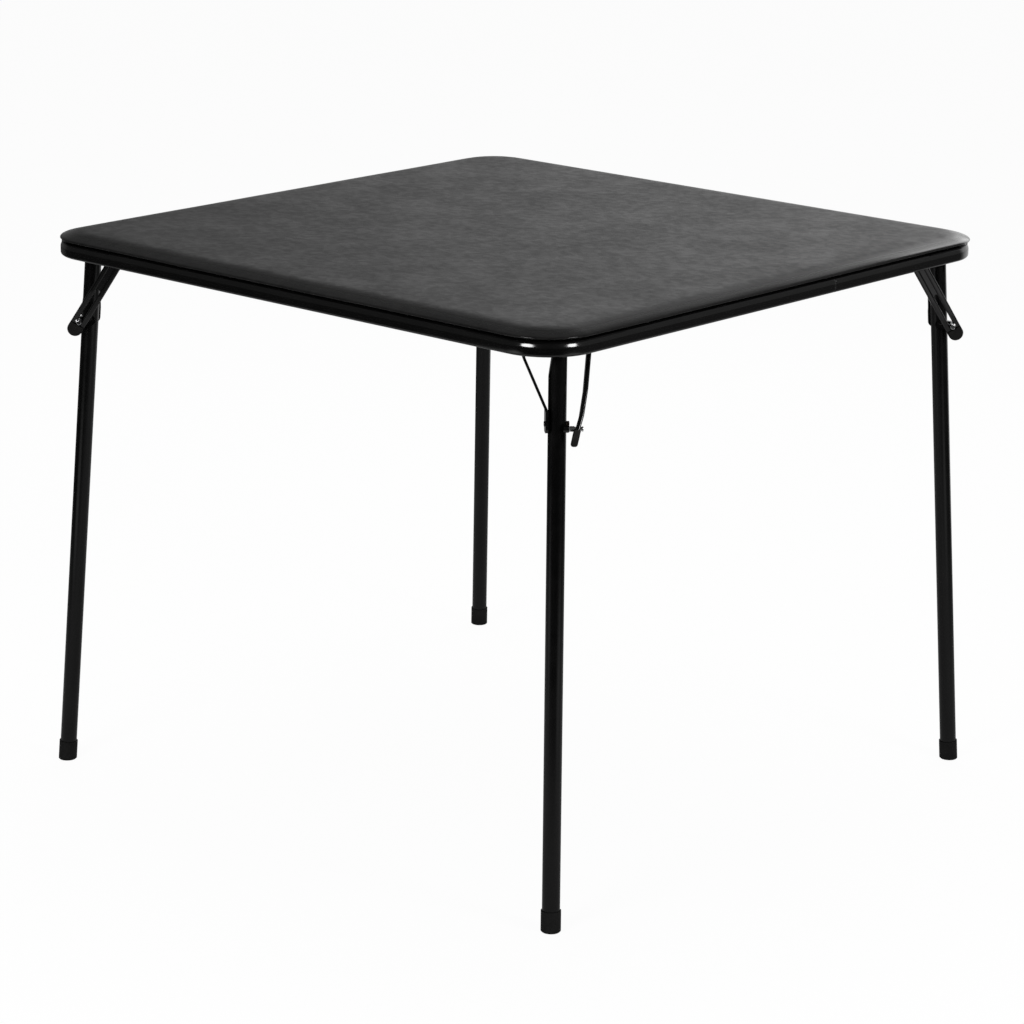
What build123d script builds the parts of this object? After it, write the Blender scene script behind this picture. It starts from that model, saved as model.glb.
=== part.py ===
from build123d import *
from math import cos, radians, sin, sqrt, tan
import os

# Folding card table: padded square top in a steel rim, with four tube legs that fold flat under it.
# Millimetres, +Z up, origin on the floor below the middle of the top.

# Overall
table_side = 851.0
table_height = 705.0
corner_radius = 66.0
overrun = 30.0
joint_gap = 0.3
fit_gap = 0.05
seat_gap = 0.1

# Padded top, from the cover down to the board
cover_thickness = 0.6
foam_thickness = 4.3
board_thickness = 5.0
side_foam = 3.7
cover_turn_under = 24.0
edge_tuck = 3.0
edge_roll = 2.8
crown_width = 30.0
lower_edge_shares = ((0.0, 1.0), (0.12, 0.35), (0.32, 0.0))
upper_edge_shares = ((0.56, 0.10), (0.75, 0.45), (0.87, 1.0))
crown_shares = ((0.55, 0.30), (0.86, 0.62), (1.0, 1.0))

# Steel rim, rolled from one strip and butted at a seam
rim_height = 18.5
rim_gauge = 1.2
rim_reveal = 0.8
top_flange = 14.0
bottom_flange = 4.6
rim_top_radius = 4.0
rim_bottom_radius = 3.6
seam_width = 0.5
seam_from_middle = 98.0
splice_length = 44.0
splice_height = 9.0

# Screws that hold the board, and rivets that hold the corner brackets
screw_radius = 1.6
screw_bite = 3.6
screw_head_radius = 3.6
screw_head_height = 1.8
fastener_inset = 8.0
screw_place_shares = (-0.28, 0.0, 0.28)
rivet_radius = 2.0
rivet_head_radius = 3.8
rivet_head_height = 1.6
bracket_rivet_places = (57.0, 100.0)

# Leg
leg_diameter = 21.0
leg_wall = 1.2
leg_splay = 4.0
leg_inset = 48.6
leg_offset = 12.0
hinge_below_rim_top = 14.9
tube_above_hinge = 4.0
strap_side_flat = (0.0, 38.0, 6.2)
outer_flat = (139.0, 31.0, 0.9)
slit_depth = 23.0
slit_width = 4.2
slit_tip_width = 0.5
slit_offset = 5.5

# Foot cap
cap_wall = 1.2
cap_height = 25.0
cap_floor = 4.0
cap_chamfer = 1.0

# Lock pin and the saddle block whose lug it stands on
pin_below_hinge = 89.5
pin_outward = 12.6
pin_radius = 3.15
neck_radius = 2.5
pin_head_radius = 3.0
pin_head_height = 1.1
saddle_radius = 6.75
lug_radius = 3.9
lug_height = 1.9
saddle_root = 6.0

# Side strap
strap_gauge = 3.2
strap_half_width = 12.0
strap_end_radius = 6.0
strap_reach = 38.4
strap_rivet_above_pin = 3.6
strap_below_rivet = 9.7
strap_bend_above_rivet = 15.3
strap_bend_below_hinge = 11.5
strap_bend_radius = 5.0
strap_corner_radius = 6.0

# Slotted locking brace
brace_lean = 31.0
brace_half_width = 9.5
brace_plate = 2.0
rail_width = 6.7
rail_depth = 5.4
rail_corner = 1.9
rail_start = 9.0
slot_length = 53.2
slot_width = 5.6
notch_depth = 2.0
brace_reach = 37.0
brace_flat_end = 12.0
brace_bow_places = (60.0, 90.0)
brace_bow_drops = (5.2, 10.4)
brace_end_drop = 15.8
brace_bow_depth = 1.2
brace_bend_radius = 30.0
tip_half_width = 7.0
tip_length = 12.0
tip_lean_in = 2.8

# Finger grip on the brace's tip
grip_start = 3.6
grip_radius = 9.6
grip_centre = 11.0
grip_thickness = 8.0
grip_edge_radius = 3.0

# Pivots
rod_radius = 3.0
rod_head_radius = 5.0
rod_head_height = 1.5
brace_rivet_radius = 2.5
brace_rivet_head_radius = 4.5
brace_rivet_head_height = 1.3
leg_rivet_radius = 2.0
leg_rivet_head_radius = 3.1
leg_rivet_head_height = 1.2
head_edge_share = 0.6

# Corner bracket
bracket_gauge = 1.5
ear_gauge = 1.5
ear_radius = 6.0
ear_root_half_width = 10.5
bracket_inner_reach = 48.0
bracket_leg = 126.0

# Heights of the stack
pad_thickness = 2 * cover_thickness + foam_thickness + board_thickness + 2 * seat_gap
rim_top = table_height - pad_thickness
rim_bottom = rim_top - rim_height
board_bottom = rim_top + cover_thickness + seat_gap
board_top = board_bottom + board_thickness
plate_top = rim_top - rim_gauge
plate_bottom = plate_top - bracket_gauge
hinge_height = rim_top - hinge_below_rim_top

# Plan sizes
rim_side = table_side - 2 * rim_reveal
rim_radius = corner_radius - rim_reveal
board_inset = cover_thickness + seat_gap + side_foam
board_side = table_side - 2 * board_inset
board_radius = corner_radius - board_inset

# Leg and brace triangle, in the fold plane, measured inward and up from the leg's hinge
leg_from_middle = (table_side / 2 - leg_inset) * sqrt(2)
leg_radius = leg_diameter / 2
splay_sine = sin(radians(leg_splay))
splay_cosine = cos(radians(leg_splay))
pin_along_leg = -(pin_below_hinge + pin_outward * splay_sine) / splay_cosine
pin_inward = pin_along_leg * splay_sine - pin_outward * splay_cosine
brace_hinge_inward = pin_inward + pin_below_hinge * tan(radians(brace_lean))
brace_length = pin_below_hinge / cos(radians(brace_lean))
tube_end = -(hinge_height - cap_floor) / splay_cosine
rivet_along_leg = pin_along_leg + strap_rivet_above_pin
slope_end = brace_length + grip_start
tip_end = slope_end + tip_length
brace_bow_reaches = [brace_reach - drop for drop in brace_bow_drops]
brace_end_reach = brace_reach - brace_end_drop
end_slope = (brace_bow_reaches[-1] - brace_end_reach) / (slope_end - brace_bow_places[-1])
pin_reach = brace_end_reach + end_slope * grip_start
strap_inner_face = leg_radius + seat_gap
strap_low_reach = strap_inner_face + strap_gauge / 2
saddle_face = strap_inner_face + lug_height
left_ear_face = strap_reach + strap_gauge / 2 + joint_gap
middle_ear_face = leg_radius + joint_gap
right_ear_face = brace_reach + brace_plate / 2 + joint_gap
pin_lean = pin_head_radius * end_slope + joint_gap
pin_shoulder = pin_reach - rail_depth / 2 - pin_lean
pin_head_base = pin_reach + rail_depth / 2 + pin_lean + brace_bow_depth

parts = {}


def keep(name, built):
    """Label a finished piece and remember it for export."""
    built.part.label = name
    parts[name] = built.part


class Corner:
    """One corner: its fold plane, its hinge points and the side that its brace is on."""

    def __init__(self, name, sign_x, sign_y, hand, shift):
        outward = Vector(sign_x, sign_y, 0).normalized()
        up = Vector(0, 0, 1)
        self.name = name
        self.inward = outward * -1
        self.up = up
        self.normal = self.inward.cross(up)
        self.brace = self.normal * hand
        self.signs = (sign_x, sign_y)
        self.notch_side = -hand
        self.hinge = outward * leg_from_middle + self.brace * shift + up * hinge_height
        self.leg_in = self.inward * splay_cosine - up * splay_sine
        self.leg_up = self.inward * splay_sine + up * splay_cosine
        self.brace_hinge = self.hinge + self.inward * brace_hinge_inward
        self.pin = self.hinge + self.leg_up * pin_along_leg - self.leg_in * pin_outward
        self.brace_along = (self.pin - self.brace_hinge).normalized()

    def leg_side(self, reach=0.0):
        """Plane along the leg, seen from its side; x inward, y up the leg, at a reach to the brace side."""
        return Plane(self.hinge + self.brace * reach, x_dir=self.leg_in, z_dir=self.normal)

    def leg_front(self, turn=0.0):
        """Plane along the leg, y up it; x to the brace side, turned from there to face inward and round."""
        across = self.brace * cos(radians(turn)) + self.leg_in * sin(radians(turn))
        return Plane(self.hinge, x_dir=across, z_dir=across.cross(self.leg_up))

    def leg_section(self, along):
        """Plane across the leg at a place along it; x inward, y to the brace side."""
        origin = self.hinge + self.leg_up * along
        return Plane(origin, x_dir=self.leg_in, z_dir=self.leg_in.cross(self.brace))

    def fold_side(self, reach=0.0):
        """Upright fold plane; x inward, y up, at a reach to the brace side."""
        return Plane(self.hinge + self.brace * reach, x_dir=self.inward, z_dir=self.normal)

    def brace_face(self):
        """Plane of the brace's broad face; x from its hinge to the pin, y across it."""
        return Plane(self.brace_hinge, x_dir=self.brace_along, z_dir=self.brace)

    def brace_edge(self, across=0.0):
        """Plane along the brace, seen on edge; x from its hinge to the pin, y to the brace side."""
        side = self.brace_along.cross(self.brace)
        return Plane(self.brace_hinge + side * across, x_dir=self.brace_along, z_dir=side)


corners = (
    Corner("front_right", 1, -1, 1, leg_offset),
    Corner("front_left", -1, -1, 1, -leg_offset),
    Corner("back_right", 1, 1, -1, leg_offset),
    Corner("back_left", -1, 1, -1, -leg_offset),
)


def pad_sections(skin):
    """Heights and insets of the padded top's edge, from the bottom to the crown, drawn in by a skin."""
    height = pad_thickness - 2 * skin
    rows = [(share, edge_tuck * tuck) for share, tuck in lower_edge_shares]
    rows += [(share, edge_roll * roll) for share, roll in upper_edge_shares]
    roll_top = upper_edge_shares[-1][0]
    for rise, run in crown_shares:
        rows.append((roll_top + (1 - roll_top) * rise, edge_roll + (crown_width - edge_roll) * run))
    return [(rim_top + skin + height * share, inset + skin) for share, inset in rows]


def pad_block(skin):
    """Solid of the padded top with its crowned face and drawn-in sides, inside a skin."""
    with BuildPart() as block:
        for level, inset in pad_sections(skin):
            with BuildSketch(Plane.XY.offset(level)):
                side = table_side - 2 * inset
                RectangleRounded(side, side, corner_radius - inset)
        loft(ruled=True)
    return block.part


def side_places(distances):
    """Places a fastener inset inside the rim's face, at signed distances from the middle of each side."""
    line = rim_side / 2 - fastener_inset
    places = []
    for distance in distances:
        places += [(distance, line), (distance, -line), (line, distance), (-line, distance)]
    return places


screw_places = side_places([share * rim_side for share in screw_place_shares])
corner_distances = [rim_side / 2 - place for place in bracket_rivet_places]
bracket_rivet_spots = side_places(corner_distances + [-distance for distance in corner_distances])

# Vinyl cover: a skin over the whole pad, turned in under the board
cover_core = pad_block(cover_thickness)
with BuildPart() as vinyl_cover:
    add(pad_block(0))
    add(cover_core, mode=Mode.SUBTRACT)
    with BuildSketch(Plane.XY.offset(rim_top - cover_thickness)):
        opening = table_side - 2 * cover_turn_under
        RectangleRounded(opening, opening, corner_radius - cover_turn_under)
    extrude(amount=3 * cover_thickness, mode=Mode.SUBTRACT)
    with BuildSketch(Plane.XY.offset(rim_top - cover_thickness)):
        with Locations(*screw_places):
            Circle(screw_radius + seat_gap)
    extrude(amount=3 * cover_thickness, mode=Mode.SUBTRACT)
keep("vinyl_cover", vinyl_cover)

# Foam: over the board's face and round its edge
with BuildPart() as foam_pad:
    add(pad_block(cover_thickness + seat_gap))
    with BuildSketch(Plane.XY.offset(rim_top)):
        side = board_side + 2 * seat_gap
        RectangleRounded(side, side, board_radius + seat_gap)
    extrude(amount=board_top + seat_gap - rim_top, mode=Mode.SUBTRACT)
keep("foam_pad", foam_pad)

# Board: the stiff panel, with pilot holes for the screws
with BuildPart() as top_board:
    with BuildSketch(Plane.XY.offset(board_bottom)):
        RectangleRounded(board_side, board_side, board_radius)
    extrude(amount=board_thickness)
    with BuildSketch(Plane.XY.offset(board_bottom)):
        with Locations(*screw_places):
            Circle(screw_radius + fit_gap)
    extrude(amount=screw_bite + seat_gap, mode=Mode.SUBTRACT)
keep("top_board", top_board)

# Rim: a rolled channel with an upper flange under the board and a rounded lower return
with BuildPart() as rim_pocket:
    with BuildSketch(Plane.XY.offset(rim_bottom + rim_gauge)):
        side = rim_side - 2 * rim_gauge
        RectangleRounded(side, side, rim_radius - rim_gauge)
    extrude(amount=rim_height - 2 * rim_gauge)
    fillet(rim_pocket.edges().group_by(Axis.Z)[0], rim_bottom_radius - rim_gauge)
with BuildPart() as rim_frame:
    with BuildSketch(Plane.XY.offset(rim_bottom)):
        RectangleRounded(rim_side, rim_side, rim_radius)
    extrude(amount=rim_height)
    fillet(rim_frame.edges().group_by(Axis.Z)[-1], rim_top_radius)
    fillet(rim_frame.edges().group_by(Axis.Z)[0], rim_bottom_radius)
    add(rim_pocket.part, mode=Mode.SUBTRACT)
    with BuildSketch(Plane.XY.offset(rim_top)):
        side = rim_side - 2 * top_flange
        RectangleRounded(side, side, rim_radius - top_flange)
    extrude(amount=-rim_height / 2, mode=Mode.SUBTRACT)
    with BuildSketch(Plane.XY.offset(rim_bottom)):
        side = rim_side - 2 * bottom_flange
        RectangleRounded(side, side, rim_radius - bottom_flange)
    extrude(amount=rim_height / 2, mode=Mode.SUBTRACT)
    with BuildSketch(Plane.XY.offset(rim_top)):
        with Locations(*screw_places):
            Circle(screw_radius + seat_gap)
        with Locations(*bracket_rivet_spots):
            Circle(rivet_radius + fit_gap)
    extrude(amount=-2 * rim_gauge, mode=Mode.SUBTRACT)
    with BuildSketch(Plane.XY.offset(rim_bottom)):
        with Locations((rim_side / 2, seam_from_middle)):
            Rectangle(2 * (top_flange + overrun), seam_width)
    extrude(amount=rim_height, mode=Mode.SUBTRACT)
keep("rim_frame", rim_frame)

# Splice plate behind the seam
splice_place = (rim_side / 2 - rim_gauge, seam_from_middle, rim_bottom + rim_height / 2)
with BuildPart() as rim_splice_plate:
    with BuildSketch(Plane(splice_place, x_dir=(0, 1, 0), z_dir=(-1, 0, 0))):
        RectangleRounded(splice_length, splice_height, rim_gauge)
    extrude(amount=rim_gauge)
keep("rim_splice_plate", rim_splice_plate)

# Screws through the rim's upper flange into the board
with BuildPart() as frame_screws:
    with BuildSketch(Plane.XY.offset(plate_top)):
        with Locations(*screw_places):
            Circle(screw_radius)
    extrude(amount=board_bottom + screw_bite - plate_top)
    with BuildSketch(Plane.XY.offset(plate_top)):
        with Locations(*screw_places):
            Circle(screw_head_radius)
    extrude(amount=-screw_head_height)
    fillet(frame_screws.edges().group_by(Axis.Z)[0], screw_head_height * head_edge_share)
keep("frame_screws", frame_screws)

# Rivets through the rim's upper flange and the corner brackets
with BuildPart() as bracket_rivets:
    with BuildSketch(Plane.XY.offset(plate_bottom)):
        with Locations(*bracket_rivet_spots):
            Circle(rivet_radius)
    extrude(amount=rim_top - plate_bottom)
    with BuildSketch(Plane.XY.offset(plate_bottom)):
        with Locations(*bracket_rivet_spots):
            Circle(rivet_head_radius)
    extrude(amount=-rivet_head_height)
    fillet(bracket_rivets.edges().group_by(Axis.Z)[0], rivet_head_height * head_edge_share)
keep("bracket_rivets", bracket_rivets)


def headed_pin(place, direction, radius, start, end, head_radius, head_height):
    """Pin from start to end along a direction, measured from a place, with a rounded head at each end."""
    with BuildPart() as pin:
        with BuildSketch(Plane(place + direction * start, z_dir=direction)):
            Circle(radius)
        extrude(amount=end - start)
        for end_place, way in ((start, -1), (end, 1)):
            with BuildSketch(Plane(place + direction * end_place, z_dir=direction * way)):
                Circle(head_radius)
            extrude(amount=head_height)
        rims = pin.edges().filter_by(GeomType.CIRCLE).sort_by(Axis(place, direction))
        fillet([rims[0], rims[-1]], head_height * head_edge_share)
    return pin


def leg_tube(c):
    """Leg tube: pressed flat on two sides near its top, slit, and holed for its rod and rivet."""
    flats = (strap_side_flat, outer_flat)
    with BuildPart() as bore:
        with BuildSketch(c.leg_section(tube_end - overrun)):
            Circle(leg_radius - leg_wall)
        extrude(amount=tube_above_hinge - tube_end + 2 * overrun, dir=c.leg_up)
        for turn, length, depth in flats:
            with BuildSketch(c.leg_front(turn)):
                Polygon(*pressed_wedge(length, depth, leg_wall), align=None)
            extrude(amount=leg_diameter, both=True, mode=Mode.SUBTRACT)
    with BuildPart() as tube:
        with BuildSketch(c.leg_section(tube_end)):
            Circle(leg_radius)
        extrude(amount=tube_above_hinge - tube_end, dir=c.leg_up)
        for turn, length, depth in flats:
            with BuildSketch(c.leg_front(turn)):
                Polygon(*pressed_wedge(length, depth, 0), align=None)
            extrude(amount=leg_diameter, both=True, mode=Mode.SUBTRACT)
        add(bore.part, mode=Mode.SUBTRACT)
        with BuildSketch(c.leg_side()):
            with BuildLine():
                Polyline(
                    (-slit_offset - slit_tip_width / 2, -slit_depth),
                    (-slit_offset - slit_width / 2, tube_above_hinge + fit_gap),
                    (-slit_offset + slit_width / 2, tube_above_hinge + fit_gap),
                    (-slit_offset + slit_tip_width / 2, -slit_depth),
                    close=True,
                )
            make_face()
            Circle(rod_radius + fit_gap)
            with Locations((0, rivet_along_leg)):
                Circle(leg_rivet_radius + fit_gap)
        extrude(amount=leg_diameter, both=True, mode=Mode.SUBTRACT)
    return tube


def pressed_wedge(length, depth, wall):
    """Corners of what a flattened side lacks, in a plane along the leg, moved in by a wall."""
    low = -leg_radius + wall
    bottom = tube_above_hinge - length
    top = tube_above_hinge + overrun
    slope = depth / length
    return (low, bottom), (low + slope * (top - bottom), top), (-leg_diameter, top), (-leg_diameter, bottom)


def foot_cap(c):
    """Rubber cap pushed over the leg's end and cut flat at the floor."""
    outer = leg_radius + seat_gap + cap_wall
    cap_top = tube_end + cap_height - cap_floor
    with BuildPart() as cap:
        with BuildSketch(c.leg_section(tube_end - cap_floor - outer)):
            Circle(outer)
        extrude(amount=cap_top - tube_end + cap_floor + outer, dir=c.leg_up)
        split(bisect_by=Plane.XY, keep=Keep.TOP)
        chamfer(cap.edges().group_by(Axis.Z)[0], cap_chamfer)
        with BuildSketch(c.leg_section(tube_end)):
            Circle(leg_radius + seat_gap)
        extrude(amount=cap_height, dir=c.leg_up, mode=Mode.SUBTRACT)
    return cap


def side_strap(c):
    """Flat strap: flush on the tube at its foot, then leaning out to the leg's hinge rod."""
    foot = rivet_along_leg - strap_below_rivet
    bend = rivet_along_leg + strap_bend_above_rivet
    with BuildPart() as strap:
        with BuildSketch(c.leg_front()):
            with BuildLine():
                FilletPolyline(
                    (-strap_low_reach, foot),
                    (-strap_low_reach, bend),
                    (-strap_reach, -strap_bend_below_hinge),
                    (-strap_reach, strap_end_radius),
                    radius=strap_bend_radius,
                )
            trace(line_width=strap_gauge)
        extrude(amount=2 * strap_half_width, both=True)
        with BuildSketch(c.leg_side()):
            Circle(strap_end_radius)
            with Locations((0, (foot + bend) / 2)):
                RectangleRounded(2 * strap_half_width, bend - foot, strap_corner_radius)
            make_hull()
        extrude(amount=strap_reach + overrun, both=True, mode=Mode.INTERSECT)
        with BuildSketch(c.leg_side()):
            Circle(rod_radius + fit_gap)
            with Locations((0, rivet_along_leg)):
                Circle(leg_rivet_radius + fit_gap)
        extrude(amount=strap_reach + overrun, both=True, mode=Mode.SUBTRACT)
    return strap


def lock_saddle(c):
    """Saddle block hollowed to the tube, riveted to it, with a lug beside the tube for the lock pin."""
    with BuildPart() as saddle:
        with BuildSketch(c.leg_side(saddle_root)):
            with Locations((0, pin_along_leg)):
                Circle(saddle_radius)
            with Locations((-pin_outward, pin_along_leg)):
                Circle(lug_radius)
            make_hull()
        extrude(amount=saddle_face - saddle_root, dir=c.brace)
        with BuildSketch(c.leg_section(pin_along_leg - overrun)):
            Circle(strap_inner_face)
        extrude(amount=2 * overrun, dir=c.leg_up, mode=Mode.SUBTRACT)
        with BuildSketch(c.leg_side()):
            with Locations((0, rivet_along_leg)):
                Circle(leg_rivet_radius + fit_gap)
        extrude(amount=leg_diameter, dir=c.brace, mode=Mode.SUBTRACT)
    return saddle


def brace_path():
    """Points of the brace's middle line, as distances from its hinge and reaches to the brace side."""
    return (
        (-brace_half_width, brace_reach),
        (brace_flat_end, brace_reach),
        *zip(brace_bow_places, brace_bow_reaches),
        (slope_end, brace_end_reach),
        (tip_end, brace_end_reach - tip_lean_in),
    )


def slotted_brace(c):
    """Brace pressed from sheet: round ends, two rolled rails, and a long slot with its lock notch."""
    points = brace_path()
    half_rail = rail_width / 2
    with BuildPart() as brace:
        with BuildSketch(c.brace_edge()):
            with BuildLine():
                FilletPolyline(*points, radius=brace_bend_radius)
            trace(line_width=brace_plate)
        extrude(amount=2 * brace_half_width, both=True)
        for side in (-1, 1):
            across = side * (brace_half_width - half_rail)
            with BuildLine(c.brace_edge(across)) as rail_line:
                FilletPolyline((rail_start, brace_reach), *points[1:-1], radius=brace_bend_radius)
            start = rail_line.line @ 0
            with BuildSketch(Plane(start, x_dir=c.brace, z_dir=c.brace_along)):
                RectangleRounded(rail_depth, rail_width, rail_corner)
            sweep(path=rail_line.line)
        with BuildSketch(c.brace_face()):
            Circle(brace_half_width)
            with Locations((slope_end / 2, 0)):
                Rectangle(slope_end, 2 * brace_half_width)
            with Locations((tip_end / 2, 0)):
                SlotOverall(tip_end, 2 * tip_half_width)
        extrude(amount=brace_reach + overrun, both=True, mode=Mode.INTERSECT)
        with BuildSketch(c.brace_face()):
            with Locations((brace_length - slot_length / 2 + slot_width / 2, 0)):
                SlotOverall(slot_length, slot_width)
            with Locations((brace_length, notch_depth * c.notch_side)):
                Circle(slot_width / 2)
            Circle(brace_rivet_radius + fit_gap)
        extrude(amount=brace_reach + overrun, both=True, mode=Mode.SUBTRACT)
    return brace


def tip_sleeve(c, thickness, outline):
    """Block along the brace's tip: a thickness about its middle line, cut to an outline."""
    points = brace_path()
    run = Vector(*points[-1]) - Vector(*points[-2])
    with BuildPart() as block:
        with BuildSketch(c.brace_edge()):
            with BuildLine():
                Line(Vector(*points[-2]), Vector(*points[-2]) + run * 2)
            trace(line_width=thickness)
        extrude(amount=2 * brace_half_width, both=True)
        with BuildSketch(c.brace_face()):
            outline()
        extrude(amount=brace_reach + overrun, both=True, mode=Mode.INTERSECT)
    return block


def brace_grip(c):
    """Rubber grip: a round-ended sleeve pushed over the brace's tip."""

    def sleeve():
        with Locations((brace_length + grip_centre - grip_radius, 0)):
            SlotOverall(4 * grip_radius, 2 * grip_radius)

    def tip():
        with Locations((tip_end / 2, 0)):
            SlotOverall(tip_end + 2 * seat_gap, 2 * tip_half_width + 2 * seat_gap)

    pocket = tip_sleeve(c, brace_plate + 2 * seat_gap, tip).part
    start = slope_end + 2 * seat_gap
    with BuildPart() as grip:
        add(tip_sleeve(c, grip_thickness, sleeve).part)
        fillet(grip.edges().filter_by(GeomType.LINE, reverse=True), grip_edge_radius)
        with BuildSketch(c.brace_face()):
            with Locations((start - overrun / 2, 0)):
                Rectangle(overrun, 4 * grip_radius)
        extrude(amount=brace_reach + overrun, both=True, mode=Mode.SUBTRACT)
        add(pocket, mode=Mode.SUBTRACT)
    return grip


def lock_pin(c):
    """Bright pin: a shank from the saddle's lug, a neck in the brace's slot, and a small head."""
    with BuildPart() as pin:
        for start, end, radius in (
            (saddle_face + joint_gap, pin_shoulder, pin_radius),
            (pin_shoulder, pin_head_base, neck_radius),
            (pin_head_base, pin_head_base + pin_head_height, pin_head_radius),
        ):
            with BuildSketch(Plane(c.pin + c.brace * start, z_dir=c.brace)):
                Circle(radius)
            extrude(amount=end - start)
        rims = pin.edges().filter_by(GeomType.CIRCLE).sort_by(Axis(c.pin, c.brace))
        fillet([rims[-1]], pin_head_height * head_edge_share)
    return pin


def corner_bracket(c):
    """Stamped plate under the rim's upper flange, with three ears bent down for the pivots."""
    sign_x, sign_y = c.signs
    side = rim_side - 2 * rim_gauge - 2 * joint_gap
    middle = side / 2 - bracket_leg / 2
    reach = leg_from_middle - bracket_inner_reach
    rise = plate_bottom - hinge_height
    ears = (
        (0, -left_ear_face - ear_gauge, rod_radius),
        (0, middle_ear_face, rod_radius),
        (brace_hinge_inward, right_ear_face, brace_rivet_radius),
    )
    with BuildPart() as bracket:
        with BuildSketch(Plane.XY.offset(plate_bottom)):
            with Locations((sign_x * middle, sign_y * middle)):
                Rectangle(bracket_leg, bracket_leg)
            RectangleRounded(side, side, rim_radius - rim_gauge - joint_gap, mode=Mode.INTERSECT)
        extrude(amount=bracket_gauge)
        with BuildSketch(Plane(c.inward * -reach, x_dir=c.inward, z_dir=(0, 0, 1)).offset(plate_bottom)):
            with Locations((reach / 2, 0)):
                Rectangle(reach, 2 * bracket_leg)
        extrude(amount=bracket_gauge, mode=Mode.SUBTRACT)
        for inward, face, bore in ears:
            with BuildSketch(c.fold_side(face)):
                with Locations((inward, 0)):
                    Circle(ear_radius)
                with Locations((inward, rise + bracket_gauge / 2)):
                    Rectangle(2 * ear_root_half_width, bracket_gauge)
                make_hull()
                with Locations((inward, 0)):
                    Circle(bore + fit_gap, mode=Mode.SUBTRACT)
            extrude(amount=ear_gauge, dir=c.brace)
        with BuildSketch(Plane.XY.offset(plate_bottom)):
            with Locations(*bracket_rivet_spots):
                Circle(rivet_radius + fit_gap)
        extrude(amount=bracket_gauge, mode=Mode.SUBTRACT)
    return bracket


for c in corners:
    rod_start = -left_ear_face - ear_gauge
    rod_end = middle_ear_face + ear_gauge
    strap_face = -strap_inner_face - strap_gauge
    brace_inner_face = brace_reach - brace_plate / 2 - joint_gap
    rivet_place = c.hinge + c.leg_up * rivet_along_leg
    rod_sizes = (rod_radius, rod_start, rod_end, rod_head_radius, rod_head_height)
    brace_sizes = (brace_rivet_radius, brace_inner_face, right_ear_face + ear_gauge)
    brace_heads = (brace_rivet_head_radius, brace_rivet_head_height)
    leg_sizes = (leg_rivet_radius, strap_face, saddle_face, leg_rivet_head_radius, leg_rivet_head_height)
    keep(c.name + "_corner_bracket", corner_bracket(c))
    keep(c.name + "_leg_pivot_rod", headed_pin(c.hinge, c.brace, *rod_sizes))
    keep(c.name + "_brace_pivot_rivet", headed_pin(c.brace_hinge, c.brace, *brace_sizes, *brace_heads))
    keep(c.name + "_leg_tube", leg_tube(c))
    keep(c.name + "_foot_cap", foot_cap(c))
    keep(c.name + "_side_strap", side_strap(c))
    keep(c.name + "_strap_rivet", headed_pin(rivet_place, c.brace, *leg_sizes))
    keep(c.name + "_lock_saddle", lock_saddle(c))
    keep(c.name + "_slotted_brace", slotted_brace(c))
    keep(c.name + "_brace_grip", brace_grip(c))
    keep(c.name + "_lock_pin", lock_pin(c))

os.makedirs("parts", exist_ok=True)
for name, part in parts.items():
    export_step(part, f"parts/{name}.step")
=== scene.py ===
import math

import bpy
import numpy as np
from mathutils import Matrix, Vector


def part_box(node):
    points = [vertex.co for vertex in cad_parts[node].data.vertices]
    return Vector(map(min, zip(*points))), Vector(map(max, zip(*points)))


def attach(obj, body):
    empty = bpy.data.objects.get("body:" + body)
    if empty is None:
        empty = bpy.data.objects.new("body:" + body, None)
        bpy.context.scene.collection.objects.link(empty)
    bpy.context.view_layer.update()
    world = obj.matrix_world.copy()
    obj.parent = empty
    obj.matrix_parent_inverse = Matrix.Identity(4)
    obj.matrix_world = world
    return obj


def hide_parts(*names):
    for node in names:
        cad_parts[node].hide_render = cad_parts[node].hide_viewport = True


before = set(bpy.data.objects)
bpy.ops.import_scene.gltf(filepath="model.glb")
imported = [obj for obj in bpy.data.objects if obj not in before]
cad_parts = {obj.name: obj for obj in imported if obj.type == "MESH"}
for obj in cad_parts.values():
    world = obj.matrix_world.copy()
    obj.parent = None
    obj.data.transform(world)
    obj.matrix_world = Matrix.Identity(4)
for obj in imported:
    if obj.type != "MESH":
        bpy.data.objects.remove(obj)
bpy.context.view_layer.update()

scene = bpy.context.scene
scene.view_settings.view_transform = "Standard"

# Sizes and places are in metres. The table stands on the floor at z = 0, below the middle of its top.
HALF_SIDE = 0.4255
CORNER_RADIUS = 0.066
TOP_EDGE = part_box("vinyl_cover")[0][2]


# Camera

CAMERA_PLACE_MM = (2762.3, -3142.9, 1527.2)
CAMERA_YAW, CAMERA_PITCH, CAMERA_ROLL = 131.348, 15.884, -0.829
CAMERA_FOCAL_PX = 3370.8
PICTURE_SIDE_PX = 1024
SENSOR_WIDTH_MM = 36.0
CAMERA_REACH = 60.0
MM_PER_METRE = 1000


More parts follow.
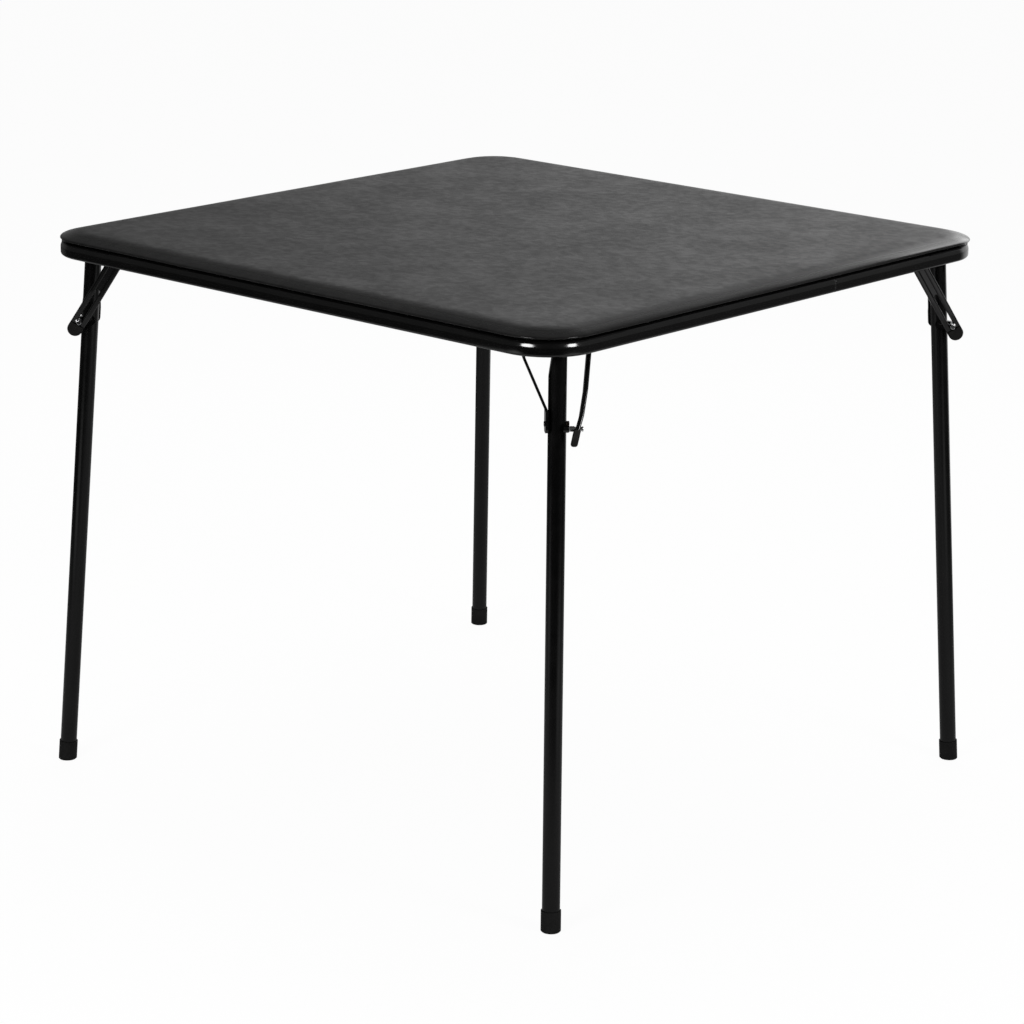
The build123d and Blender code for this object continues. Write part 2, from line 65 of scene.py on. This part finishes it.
def look(place_mm, yaw, pitch, roll, focal_px):
    """Camera at a place, turned by yaw and pitch from +X and rolled about its axis, in degrees."""
    yaw, pitch, roll = (math.radians(v) for v in (yaw, pitch, roll))
    level = Vector((math.cos(yaw), math.sin(yaw), 0))
    forward = level * math.cos(pitch) - Vector((0, 0, math.sin(pitch)))
    right = forward.cross(Vector((0, 0, 1))).normalized()
    down = forward.cross(right)
    across = right * math.cos(roll) + down * math.sin(roll)
    below = down * math.cos(roll) - right * math.sin(roll)
    data = bpy.data.cameras.new("camera")
    data.sensor_width = SENSOR_WIDTH_MM
    data.lens = focal_px / PICTURE_SIDE_PX * SENSOR_WIDTH_MM
    data.clip_end = CAMERA_REACH
    camera = bpy.data.objects.new("camera", data)
    turn = Matrix((across, -below, -forward)).transposed().to_4x4()
    camera.matrix_world = Matrix.Translation(Vector(place_mm) / MM_PER_METRE) @ turn
    scene.collection.objects.link(camera)
    scene.camera = camera


look(CAMERA_PLACE_MM, CAMERA_YAW, CAMERA_PITCH, CAMERA_ROLL, CAMERA_FOCAL_PX)


# Shader maths

class Wire:
    """A shader socket with the arithmetic operators."""

    def __init__(self, tree, socket):
        self.tree = tree
        self.socket = socket

    def _math(self, operation, first, second):
        return self.tree.add("ShaderNodeMath", {"operation": operation}, [first, second])

    def __add__(self, other):
        return self._math("ADD", self, other)

    def __radd__(self, other):
        return self._math("ADD", other, self)

    def __sub__(self, other):
        return self._math("SUBTRACT", self, other)

    def __rsub__(self, other):
        return self._math("SUBTRACT", other, self)

    def __mul__(self, other):
        return self._math("MULTIPLY", self, other)

    def __rmul__(self, other):
        return self._math("MULTIPLY", other, self)

    def at_most(self, other):
        return self._math("MINIMUM", self, other)

    def at_least(self, other):
        return self._math("MAXIMUM", self, other)

    def ramp(self, low, high, out_low=0.0, out_high=1.0):
        """A smooth step from out_low to out_high as the value goes from low to high."""
        settings = {"interpolation_type": "SMOOTHSTEP"}
        values = {"Value": self, "From Min": low, "From Max": high, "To Min": out_low, "To Max": out_high}
        return self.tree.add("ShaderNodeMapRange", settings, values)


class Finish:
    """A material's or world's node tree, with one way to add a node."""

    def __init__(self, owner, output):
        owner.use_nodes = True
        self.nodes = owner.node_tree.nodes
        self.links = owner.node_tree.links
        self.nodes.clear()
        self.output = self.nodes.new(output)

    def add(self, kind, settings=None, values=(), out=0):
        """Adds a node, applies its settings, fills its sockets with values or links, and gives one output."""
        node = self.nodes.new(kind)
        for name, value in (settings or {}).items():
            setattr(node, name, value)
        pairs = values.items() if isinstance(values, dict) else enumerate(values)
        for key, value in pairs:
            if isinstance(value, Wire):
                self.links.new(value.socket, node.inputs[key])
            else:
                node.inputs[key].default_value = value
        return Wire(self, node.outputs[out])

    def end(self, wire):
        self.links.new(wire.socket, self.output.inputs["Surface"])

    def place(self):
        """Object coordinates, in metres."""
        return self.add("ShaderNodeTexCoord", out="Object")

    def height_of(self, vector):
        return self.add("ShaderNodeSeparateXYZ", None, [vector], "Z")

    def noise(self, scale, detail=3.0, roughness=0.5, distortion=0.0):
        values = {"Vector": self.place(), "Scale": scale, "Detail": detail,
                  "Roughness": roughness, "Distortion": distortion}
        return self.add("ShaderNodeTexNoise", None, values, "Fac")

    def cells(self, scale, feature="F1"):
        values = {"Vector": self.place(), "Scale": scale}
        return self.add("ShaderNodeTexVoronoi", {"feature": feature}, values, "Distance")

    def bands(self, direction, scale):
        values = {"Vector": self.place(), "Scale": scale}
        return self.add("ShaderNodeTexWave", {"bands_direction": direction}, values, "Fac")

    def blend(self, amount, first, second):
        """Mixes two colours. A Mix node's colour sockets go by number, because its names repeat."""
        first_colour, second_colour, mixed_colour = 6, 7, 2
        values = {"Factor": amount, first_colour: first, second_colour: second}
        return self.add("ShaderNodeMix", {"data_type": "RGBA"}, values, mixed_colour)

    def bump(self, height, depth, strength, over=None):
        """Bumps of a depth in metres, over another bump's normal if one is given."""
        values = {"Height": height, "Distance": depth, "Strength": strength}
        if over:
            values["Normal"] = over
        return self.add("ShaderNodeBump", None, values)

    def skin(self, **values):
        """The material's surface, from sockets named in words joined by underscores."""
        sockets = {name.replace("_", " "): value for name, value in values.items()}
        self.end(self.add("ShaderNodeBsdfPrincipled", None, sockets))


def grey(value, tint=(1.0, 1.0, 1.0)):
    return (value * tint[0], value * tint[1], value * tint[2], 1.0)


BLACK, WHITE = grey(0.0), grey(1.0)


def finish_of(name):
    material = bpy.data.materials.new(name)
    return material, Finish(material, "ShaderNodeOutputMaterial")


# Materials

# Heights above the cover's lower edge: where the side's sheen ends, and where the flat top's begins.
ROLL_LOW, ROLL_HIGH = 0.0054, 0.0078
FLAT_LOW, FLAT_HIGH = 0.0080, 0.0108


def grained_vinyl():
    """Black vinyl: a pebbled grain under a millimetre across, puckers a centimetre across, a faint
    cloudy sheen, and a smoother, stretched roll at the edge."""
    material, tree = finish_of("grained_vinyl")
    pebbles = tree.cells(scale=1150.0, feature="SMOOTH_F1")
    pores = tree.noise(scale=2300.0, detail=2.0)
    pucker = tree.noise(scale=84.0, detail=2.5, roughness=0.55, distortion=0.4)
    cloud = tree.noise(scale=13.0, detail=4.0, roughness=0.6, distortion=0.4)
    height = tree.height_of(tree.place())
    slope = height.ramp(TOP_EDGE + ROLL_LOW, TOP_EDGE + ROLL_HIGH)
    flat = height.ramp(TOP_EDGE + FLAT_LOW, TOP_EDGE + FLAT_HIGH)
    mottled = cloud.ramp(0.32, 0.70) * 0.45 + pucker.ramp(0.33, 0.68) * 0.55
    puckered = tree.bump(pucker * flat, depth=0.0008, strength=0.4)
    grain = (pebbles * 0.7 + pores * 0.3) * (flat * 0.75 + 0.25)
    tree.skin(
        Base_Color=tree.blend(mottled, grey(0.0035), grey(0.0085, (1.02, 1.0, 0.98))),
        Roughness=slope * 0.15 + flat * (0.18 - mottled * 0.10) + 0.12,
        Normal=tree.bump(grain, depth=0.00012, strength=0.6, over=puckered),
        Specular_IOR_Level=0.34,
    )
    return material


def enamel(name, base, rough, spread, peel, level):
    """Baked black enamel: orange peel a few millimetres across and of a given depth, fine dust, and a
    gloss that varies by the spread."""
    material, tree = finish_of(name)
    ripple = tree.noise(scale=210.0, detail=2.0)
    dust = tree.noise(scale=2600.0, detail=2.0)
    film = tree.noise(scale=22.0, detail=4.0, roughness=0.6)
    tree.skin(
        Base_Color=tree.blend(film.ramp(0.3, 0.72), grey(base), grey(base * 1.7, (1.02, 1.0, 0.99))),
        Roughness=film.ramp(0.3, 0.7) * spread + dust.ramp(0.62, 0.8) * 0.12 + rough,
        Normal=tree.bump(ripple * 0.8 + dust * 0.2, depth=peel, strength=0.5),
        Specular_IOR_Level=level,
    )
    return material


def moulded_rubber(name, base, tint, stipple_scale):
    """Matt rubber: a stippled skin, dusty in its hollows."""
    material, tree = finish_of(name)
    stipple = tree.noise(scale=stipple_scale, detail=3.0, roughness=0.6)
    dusty = tree.noise(scale=60.0, detail=4.0, roughness=0.6)
    tree.skin(
        Base_Color=tree.blend(dusty.ramp(0.35, 0.7), grey(base, tint), grey(base * 1.9, tint)),
        Roughness=dusty * 0.15 + 0.55,
        Normal=tree.bump(stipple, depth=0.0004, strength=0.7),
        Specular_IOR_Level=0.22,
    )
    return material


def zinc(name, value, rough):
    """Zinc-plated steel: fine drawn lines, small spangles and a cool tint."""
    material, tree = finish_of(name)
    spangle = tree.cells(scale=620.0).ramp(0.1, 0.7)
    lines = tree.noise(scale=1800.0, detail=2.0)
    dull, bright = grey(value * 0.82, (0.98, 1.0, 1.02)), grey(value, (0.99, 1.0, 1.01))
    tree.skin(
        Base_Color=tree.blend(spangle, dull, bright),
        Roughness=lines * 0.1 + rough,
        Normal=tree.bump(lines, depth=0.00004, strength=0.4),
        Metallic=1.0,
    )
    return material


def hardboard():
    """Dark pressed hardboard: matted fibres and a faint screen pattern on its back."""
    material, tree = finish_of("hardboard")
    fibre = tree.noise(scale=420.0, detail=4.0, roughness=0.65, distortion=1.2)
    screen_scale = 150.0
    screen = tree.bands("X", screen_scale) * tree.bands("Y", screen_scale)
    brown, pale_brown = (0.035, 0.022, 0.015, 1), (0.085, 0.055, 0.036, 1)
    tree.skin(
        Base_Color=tree.blend(fibre.ramp(0.3, 0.72), brown, pale_brown),
        Roughness=0.78,
        Normal=tree.bump(screen * 0.6 + fibre * 0.4, depth=0.0003, strength=0.6),
    )
    return material


vinyl = grained_vinyl()
rim_enamel = enamel("rim_enamel", base=0.0010, rough=0.09, spread=0.05, peel=0.00006, level=0.75)
leg_enamel = enamel("leg_enamel", base=0.0010, rough=0.17, spread=0.06, peel=0.00008, level=0.38)
brace_enamel = enamel("brace_enamel", base=0.0009, rough=0.09, spread=0.05, peel=0.00008, level=0.62)
foot_rubber = moulded_rubber("foot_rubber", base=0.0022, tint=(1.0, 0.98, 0.96), stipple_scale=900.0)
grip_rubber = moulded_rubber("grip_rubber", base=0.0030, tint=(1.0, 0.9, 0.82), stipple_scale=420.0)
bright_zinc = zinc("bright_zinc", value=0.90, rough=0.08)
plain_zinc = zinc("plain_zinc", value=0.62, rough=0.30)

NODE_FINISHES = {
    "leg_tube": leg_enamel,
    "bracket_rivets": leg_enamel,
    "rim_splice_plate": leg_enamel,
    "corner_bracket": brace_enamel,
    "side_strap": brace_enamel,
    "strap_rivet": brace_enamel,
    "lock_saddle": brace_enamel,
    "slotted_brace": brace_enamel,
    "foot_cap": foot_rubber,
    "brace_grip": grip_rubber,
    "lock_pin": bright_zinc,
    "leg_pivot_rod": plain_zinc,
    "brace_pivot_rivet": plain_zinc,
    "frame_screws": plain_zinc,
    "top_board": hardboard(),
}


def finish_nodes():
    """Each CAD node's material goes by the end of its name, because the corners' pieces share endings."""
    for name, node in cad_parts.items():
        for ending, material in NODE_FINISHES.items():
            if name.endswith(ending):
                for place in node.material_slots:
                    place.material = material
                if not node.material_slots:
                    node.data.materials.append(material)


finish_nodes()


# Surfaces

CORNER_STEPS, SIDE_STEPS = 14, 22
QUARTER_TURN = math.pi / 2
EIGHTH_TURN = math.pi / 4


def heading(angle):
    return np.array([math.cos(angle), math.sin(angle)])


def rounded_square(inset):
    """Points round a square with rounded corners, drawn in by an inset. A corner is an arc about
    the point (half - radius) from both axes, by equal angles, and a side is even steps between arcs.
    The round starts where the +X side meets its +Y corner and ends on the +X side."""
    radius = CORNER_RADIUS - inset
    corner_reach = (HALF_SIDE - inset - radius) * math.sqrt(2)
    steps = np.linspace(0, 1, SIDE_STEPS + 1)[1:-1, None]
    points = []
    for quarter in range(4):
        turn = quarter * QUARTER_TURN
        angles = turn + np.linspace(0, QUARTER_TURN, CORNER_STEPS + 1)
        middle = heading(turn + EIGHTH_TURN) * corner_reach
        arc = middle + radius * np.stack([np.cos(angles), np.sin(angles)], 1)
        next_middle = heading(turn + QUARTER_TURN + EIGHTH_TURN) * corner_reach
        next_start = next_middle + radius * heading(turn + QUARTER_TURN)
        points += [arc, arc[-1] + (next_start - arc[-1]) * steps]
    return np.concatenate(points)


def smooth_profile(knots, steps=5):
    """Curve through knots by Catmull-Rom: each span is a cubic whose end slopes are half the chord
    between its neighbours."""
    knots = np.array(knots)
    padded = np.vstack([2 * knots[0] - knots[1], knots, 2 * knots[-1] - knots[-2]])
    t = np.linspace(0, 1, steps, endpoint=False)[:, None]
    spans = []
    for k in range(len(knots) - 1):
        a, b, c, d = padded[k:k + 4]
        bend = 2 * a - 5 * b + 4 * c - d
        twist = 3 * b - a - 3 * c + d
        spans.append(0.5 * (2 * b + (c - a) * t + bend * t ** 2 + twist * t ** 3))
    return np.vstack(spans + [knots[-1:]])


def grid_piece(name, rows, closed=True, cap=None):
    """Surface through rows of equal count, joined by quads: round on itself if closed, and with a fan
    to one middle point if a cap is given."""
    count = len(rows[0])
    points = np.concatenate(rows)
    place = np.arange(count if closed else count - 1)
    ahead = (place + 1) % count
    row_starts = count * np.arange(len(rows) - 1)
    quad = np.stack([place, ahead, ahead + count, place + count], 1)
    faces = (row_starts[:, None, None] + quad).reshape(-1, 4).tolist()
    if cap is not None:
        last = (len(rows) - 1) * count
        points = np.vstack([points, cap])
        faces += np.stack([last + place, last + ahead, np.full(count, len(points) - 1)], 1).tolist()
    mesh = bpy.data.meshes.new(name)
    mesh.from_pydata(points.tolist(), [], faces)
    mesh.update()
    mesh.polygons.foreach_set("use_smooth", [True] * len(mesh.polygons))
    piece = bpy.data.objects.new(name, mesh)
    scene.collection.objects.link(piece)
    return piece


def sheet_wall(piece, gauge):
    """Gives a surface its wall, inward from the outer face."""
    wall = piece.modifiers.new("gauge", "SOLIDIFY")
    wall.thickness = gauge
    wall.offset = -1.0
    wall.use_even_offset = True


# Rolled rim

RIM_REVEAL = 0.0008
RIM_GAUGE = 0.0012
RIM_LEAN = math.radians(19.8)
RIM_UPPER_FLANGE, RIM_LOWER_FLANGE = 0.014, 0.0046
RIM_LOWER_BEND = 0.0036
LOWER_BEND_POINTS, LEAN_POINTS, UPPER_BEND_POINTS = 7, 5, 9
# Depths below the rim's top: where the upper bend ends, and where the lean is full and where it starts.
RIM_UPPER_BEND, RIM_LEAN_FULL, RIM_LEAN_START = 0.004, 0.0062, 0.0086
SEAM_PLACE, SEAM_WIDTH = 0.098, 0.0012
# A narrow strip beside each cut edge keeps its shading from spreading over the face, and no other
# point of the side is closer to the seam than its clearance.
LIP = 0.0004
SEAM_CLEARANCE = 4 * LIP


def rim_profile(low, high):
    """(inset, height) from the lower flange up to the upper one. Each bend is an arc, and the lean's
    inset is the integral of its slope, which grows evenly from nought where the lean starts."""
    profile = [(RIM_LOWER_FLANGE, low), (RIM_LOWER_FLANGE - LIP, low)]
    for angle in np.linspace(QUARTER_TURN, 0, LOWER_BEND_POINTS):
        inset = RIM_LOWER_BEND * (1 - math.cos(angle))
        profile.append((inset, low + RIM_LOWER_BEND * (1 - math.sin(angle))))
    slope = math.tan(RIM_LEAN)
    fade = RIM_LEAN_START - RIM_LEAN_FULL
    for share in np.linspace(0, 1, LEAN_POINTS):
        profile.append((slope * fade * share ** 2 / 2, high - RIM_LEAN_START + fade * share))
    bend_inset = slope * (fade / 2 + RIM_LEAN_FULL - RIM_UPPER_BEND)
    radius = RIM_UPPER_BEND / (1 - math.sin(RIM_LEAN))
    for angle in np.linspace(RIM_LEAN, QUARTER_TURN, UPPER_BEND_POINTS):
        inset = bend_inset + radius * (math.cos(RIM_LEAN) - math.cos(angle))
        profile.append((inset, high - radius * (1 - math.sin(angle))))
    return profile + [(RIM_UPPER_FLANGE - LIP, high), (RIM_UPPER_FLANGE, high)]


def opened_at_seam(outline):
    """The outline as an open path that starts and ends at the seam's two edges, on the +X side."""
    side = outline[1 - SIDE_STEPS:]
    edge = SEAM_WIDTH / 2
    lips = [(side[0, 0], SEAM_PLACE + step) for step in (edge, LIP + edge, -LIP - edge, -edge)]
    after = side[side[:, 1] > SEAM_PLACE + SEAM_CLEARANCE]
    before = side[side[:, 1] < SEAM_PLACE - SEAM_CLEARANCE]
    return np.concatenate([lips[:2], after, outline[:1 - SIDE_STEPS], before, lips[2:]])


def rolled_rim():
    """Steel rim rolled from strip and butted at a seam: its profile is carried round the top."""
    (_, _, low), (_, _, high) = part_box("rim_frame")
    rows = []
    for inset, height in rim_profile(low, high):
        path = opened_at_seam(rounded_square(RIM_REVEAL + inset))
        rows.append(np.column_stack([path, np.full(len(path), height)]))
    piece = grid_piece("rolled_rim", rows, closed=False)
    sheet_wall(piece, RIM_GAUGE)
    piece.data.materials.append(rim_enamel)
    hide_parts("rim_frame")
    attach(piece, "table_top")


# Padded top

COVER_GAUGE = 0.0006
# (inset, height above the cover's lower edge), from the flap under the board to the flat top.
PAD_KNOTS = (
    (0.0240, 0.0003), (0.0120, 0.0002), (0.0068, 0.0002), (0.0050, 0.0005), (0.0030, 0.0012),
    (0.0010, 0.0022), (0.0, 0.0033), (0.0005, 0.0043), (0.0022, 0.0052), (0.0060, 0.0062),
    (0.0120, 0.0077), (0.0190, 0.0093), (0.0260, 0.0104), (0.0330, 0.0109), (0.0450, 0.0111),
)
PAD_FLAT = PAD_KNOTS[-1][1]
PAD_CROWN = 0.0002
PAD_RINGS = 16
# The side's fullness: the height of its middle, how far it reaches up and down, and how deep it waves.
SIDE_MIDDLE, SIDE_REACH, SIDE_DEPTH = 0.0036, 0.0033, 0.009
SIDE_WAVE, SIDE_LIFT = 0.0005, 0.0002
# (waves in one round of the table, phase, share of the wave), and the waves of the lift.
SIDE_WAVES = ((9, 0.6, 0.6), (23, 2.1, 0.4))
LIFT_WAVES = 14


def waved(inset, rise):
    """One ring of the pad's side. The side's share falls evenly to nought away from its middle. It
    scales an outward wave of two sines and a lift of one sine of the angle round the table."""
    outline = rounded_square(inset)
    turn = np.arctan2(outline[:, 1], outline[:, 0])
    share = max(0.0, 1 - abs(rise - SIDE_MIDDLE) / SIDE_REACH) if inset < SIDE_DEPTH else 0.0
    wave = sum(np.sin(count * turn + phase) * part for count, phase, part in SIDE_WAVES)
    outline = outline * (1 + share * SIDE_WAVE * wave / np.linalg.norm(outline, axis=1))[:, None]
    lift = rise + share * SIDE_LIFT * np.sin(LIFT_WAVES * turn)
    return np.column_stack([outline, TOP_EDGE + lift])


def crowned(edge, share):
    """A ring inside the pad's flat edge, drawn in to a share of it. Its rise is the square's shortfall."""
    ring = edge.copy()
    ring[:, :2] *= share
    ring[:, 2] = TOP_EDGE + PAD_FLAT + PAD_CROWN * (1 - share ** 2)
    return ring


def padded_top():
    """Vinyl cover pulled over the foam: profile from the flap under the board, round the drawn-in
    edge, over the roll to the flat top, and crowned rings in to its middle."""
    rings = [waved(inset, rise) for inset, rise in smooth_profile(PAD_KNOTS)]
    edge = rings[-1]
    rings += [crowned(edge, share) for share in np.linspace(1, 0, PAD_RINGS)[1:-1]]
    piece = grid_piece("padded_top", rings, cap=[0, 0, TOP_EDGE + PAD_FLAT + PAD_CROWN])
    sheet_wall(piece, COVER_GAUGE)
    piece.data.materials.append(vinyl)
    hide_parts("vinyl_cover", "foam_pad")
    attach(piece, "table_top")


padded_top()
rolled_rim()


# Studio

# Level directions away from the camera and to its right.
AWAY, RIGHTWARD = (-0.66, 0.75, 0.0), (0.75, 0.66, 0.0)
# How bright gloss sees the backdrop, the room and the far floor, from left to right.
BACKDROP_LEVELS = (0.14, 1.35)
ROOM_LEVELS = (0.08, 0.17)
FLOOR_LEVELS = (0.03, 0.07)
CAMERA_SIDE_SHARE = 0.35
SOFT_LIGHT = 0.45
FLOOR_REACH = 14.0
# How much of the floor is its own glow to the camera and to gloss; the rest is lit, and takes the shadow.
CAMERA_GLOW, GLOSS_GLOW = 0.95, 0.7
# The floor's grey as it is lit, and as gloss sees its glow.
FLOOR_GREY, GLOSS_GREY = 0.86, 0.12
FAR_FLOOR_SHARE = 0.6
# Painted pools of lamp light on the floor, which glow only to gloss and paint soft highlights on the legs:
# each pool's centre and brightness, and the pools' inner and outer radius.
PAINTED_LAMP_POOLS = (((-0.36, -2.0, 0.0), 0.75), ((1.85, -0.15, 0.0), 0.7))
PAINTED_POOL_RADII = (0.2, 0.8)
# Each lamp's place, the point it faces, its two widths, its watts, and whether gloss sees it.
LAMPS = {
    "overhead": ((-0.8, 1.2, 3.4), (0, 0, 0.6), (2.4, 2.4), 42, False),
    "behind_right": ((-0.1, 2.5, 1.5), (0.2, 0.3, 0.7), (1.6, 0.9), 5, True),
    "left_of_camera": ((0.5, -3.4, 1.95), (0.2, -0.2, 0.6), (1.35, 1.1), 60, True),
    "right_of_camera": ((3.6, 0.0, 1.95), (0.2, -0.2, 0.6), (1.15, 1.05), 50, True),
}


def softbox(name, place, target, size, watts, shines):
    """An oval lamp that the camera doesn't see, and that gloss sees only if it shines."""
    data = bpy.data.lights.new(name, "AREA")
    data.shape = "ELLIPSE"
    data.size, data.size_y = size
    data.energy = watts
    lamp = bpy.data.objects.new(name, data)
    lamp.visible_camera = False
    lamp.visible_glossy = shines
    aim = (Vector(target) - Vector(place)).to_track_quat("-Z", "Y").to_matrix().to_4x4()
    lamp.matrix_world = Matrix.Translation(Vector(place)) @ aim
    scene.collection.objects.link(lamp)


def rays(tree, *names):
    """1 for rays of the named kinds and 0 for others."""
    share, *others = (tree.add("ShaderNodeLightPath", out=name) for name in names)
    for other in others:
        share = share.at_least(other)
    return share


def room_shade(tree, way, height, levels):
    """What gloss sees in a direction: a backdrop that is brightest at its right and dims upward. Past
    its edges it sees a dim room, lighter at the right and darkest at the camera's side."""
    plan = tree.add("ShaderNodeVectorMath", {"operation": "MULTIPLY"}, {0: way, 1: (1.0, 1.0, 0.0)})
    plan = tree.add("ShaderNodeVectorMath", {"operation": "NORMALIZE"}, [plan])
    away = tree.add("ShaderNodeVectorMath", {"operation": "DOT_PRODUCT"}, {0: plan, 1: AWAY}, "Value")
    right = tree.add("ShaderNodeVectorMath", {"operation": "DOT_PRODUCT"}, {0: plan, 1: RIGHTWARD}, "Value")
    room = right.ramp(-1.0, 1.0, *levels) * away.ramp(-1.0, -0.3, CAMERA_SIDE_SHARE, 1.0)
    backdrop = away.ramp(0.25, 0.6) * right.ramp(-0.30, 0.30, *BACKDROP_LEVELS) * height
    return backdrop.at_least(room).at_most(1.0)


def white_surroundings():
    """White to the camera, the backdrop and the room to gloss, and soft even light to all else."""
    scene.world = bpy.data.worlds.new("studio")
    tree = Finish(scene.world, "ShaderNodeOutputWorld")
    way = tree.add("ShaderNodeTexCoord", out="Generated")
    shade = room_shade(tree, way, tree.height_of(way).ramp(0.27, 0.52, 1.0, 0.0), ROOM_LEVELS)
    colour = tree.blend(rays(tree, "Is Camera Ray").at_least(shade), BLACK, WHITE)
    seen = tree.add("ShaderNodeBackground", None, {"Color": colour, "Strength": 1.0})
    light = tree.add("ShaderNodeBackground", None, {"Color": WHITE, "Strength": SOFT_LIGHT})
    sharp = rays(tree, "Is Camera Ray", "Is Glossy Ray", "Is Transmission Ray")
    tree.end(tree.add("ShaderNodeMixShader", None, [sharp, light, seen]))


def floor_finish():
    """Pale floor that keeps the shadow. To gloss it is dim, with the room and painted, glowing pools of lamp
    light farther out.
    """
    material, tree = finish_of("pale_floor")
    plain = tree.add("ShaderNodeBsdfDiffuse", None, {"Color": grey(FLOOR_GREY)})
    gloss = rays(tree, "Is Glossy Ray")
    glow_colour = tree.blend(gloss, WHITE, grey(GLOSS_GREY))
    glow = tree.add("ShaderNodeEmission", None, {"Color": glow_colour, "Strength": 1.0})
    glow_share = rays(tree, "Is Camera Ray", "Is Transmission Ray") * CAMERA_GLOW + gloss * GLOSS_GLOW
    near = tree.add("ShaderNodeMixShader", None, [glow_share, plain, glow])
    distance = tree.add("ShaderNodeVectorMath", {"operation": "LENGTH"}, [tree.place()], "Value")
    outward = distance.ramp(0.7, 2.2)
    shade = room_shade(tree, tree.place(), outward * FAR_FLOOR_SHARE, FLOOR_LEVELS)
    # Painted light: glowing pools where the lamps would light the floor, seen only in reflections.
    for painted_pool, level in PAINTED_LAMP_POOLS:
        apart = tree.add("ShaderNodeVectorMath", {"operation": "DISTANCE"}, [tree.place(), painted_pool], "Value")
        shade = shade + apart.ramp(*PAINTED_POOL_RADII, level, 0.0)
    colour = tree.blend(shade.at_most(1.0), BLACK, WHITE)
    far = tree.add("ShaderNodeEmission", None, {"Color": colour, "Strength": 1.0})
    tree.end(tree.add("ShaderNodeMixShader", None, [gloss * outward, near, far]))
    return material


def pale_floor():
    """A square sheet at z = 0, far wider than the table."""
    corners = [(x * FLOOR_REACH, y * FLOOR_REACH, 0) for x, y in ((-1, -1), (1, -1), (1, 1), (-1, 1))]
    mesh = bpy.data.meshes.new("floor")
    mesh.from_pydata(corners, [], [(0, 1, 2, 3)])
    floor = bpy.data.objects.new("floor", mesh)
    scene.collection.objects.link(floor)
    floor.data.materials.append(floor_finish())


white_surroundings()
pale_floor()
for name, lamp in LAMPS.items():
    softbox(name, *lamp)
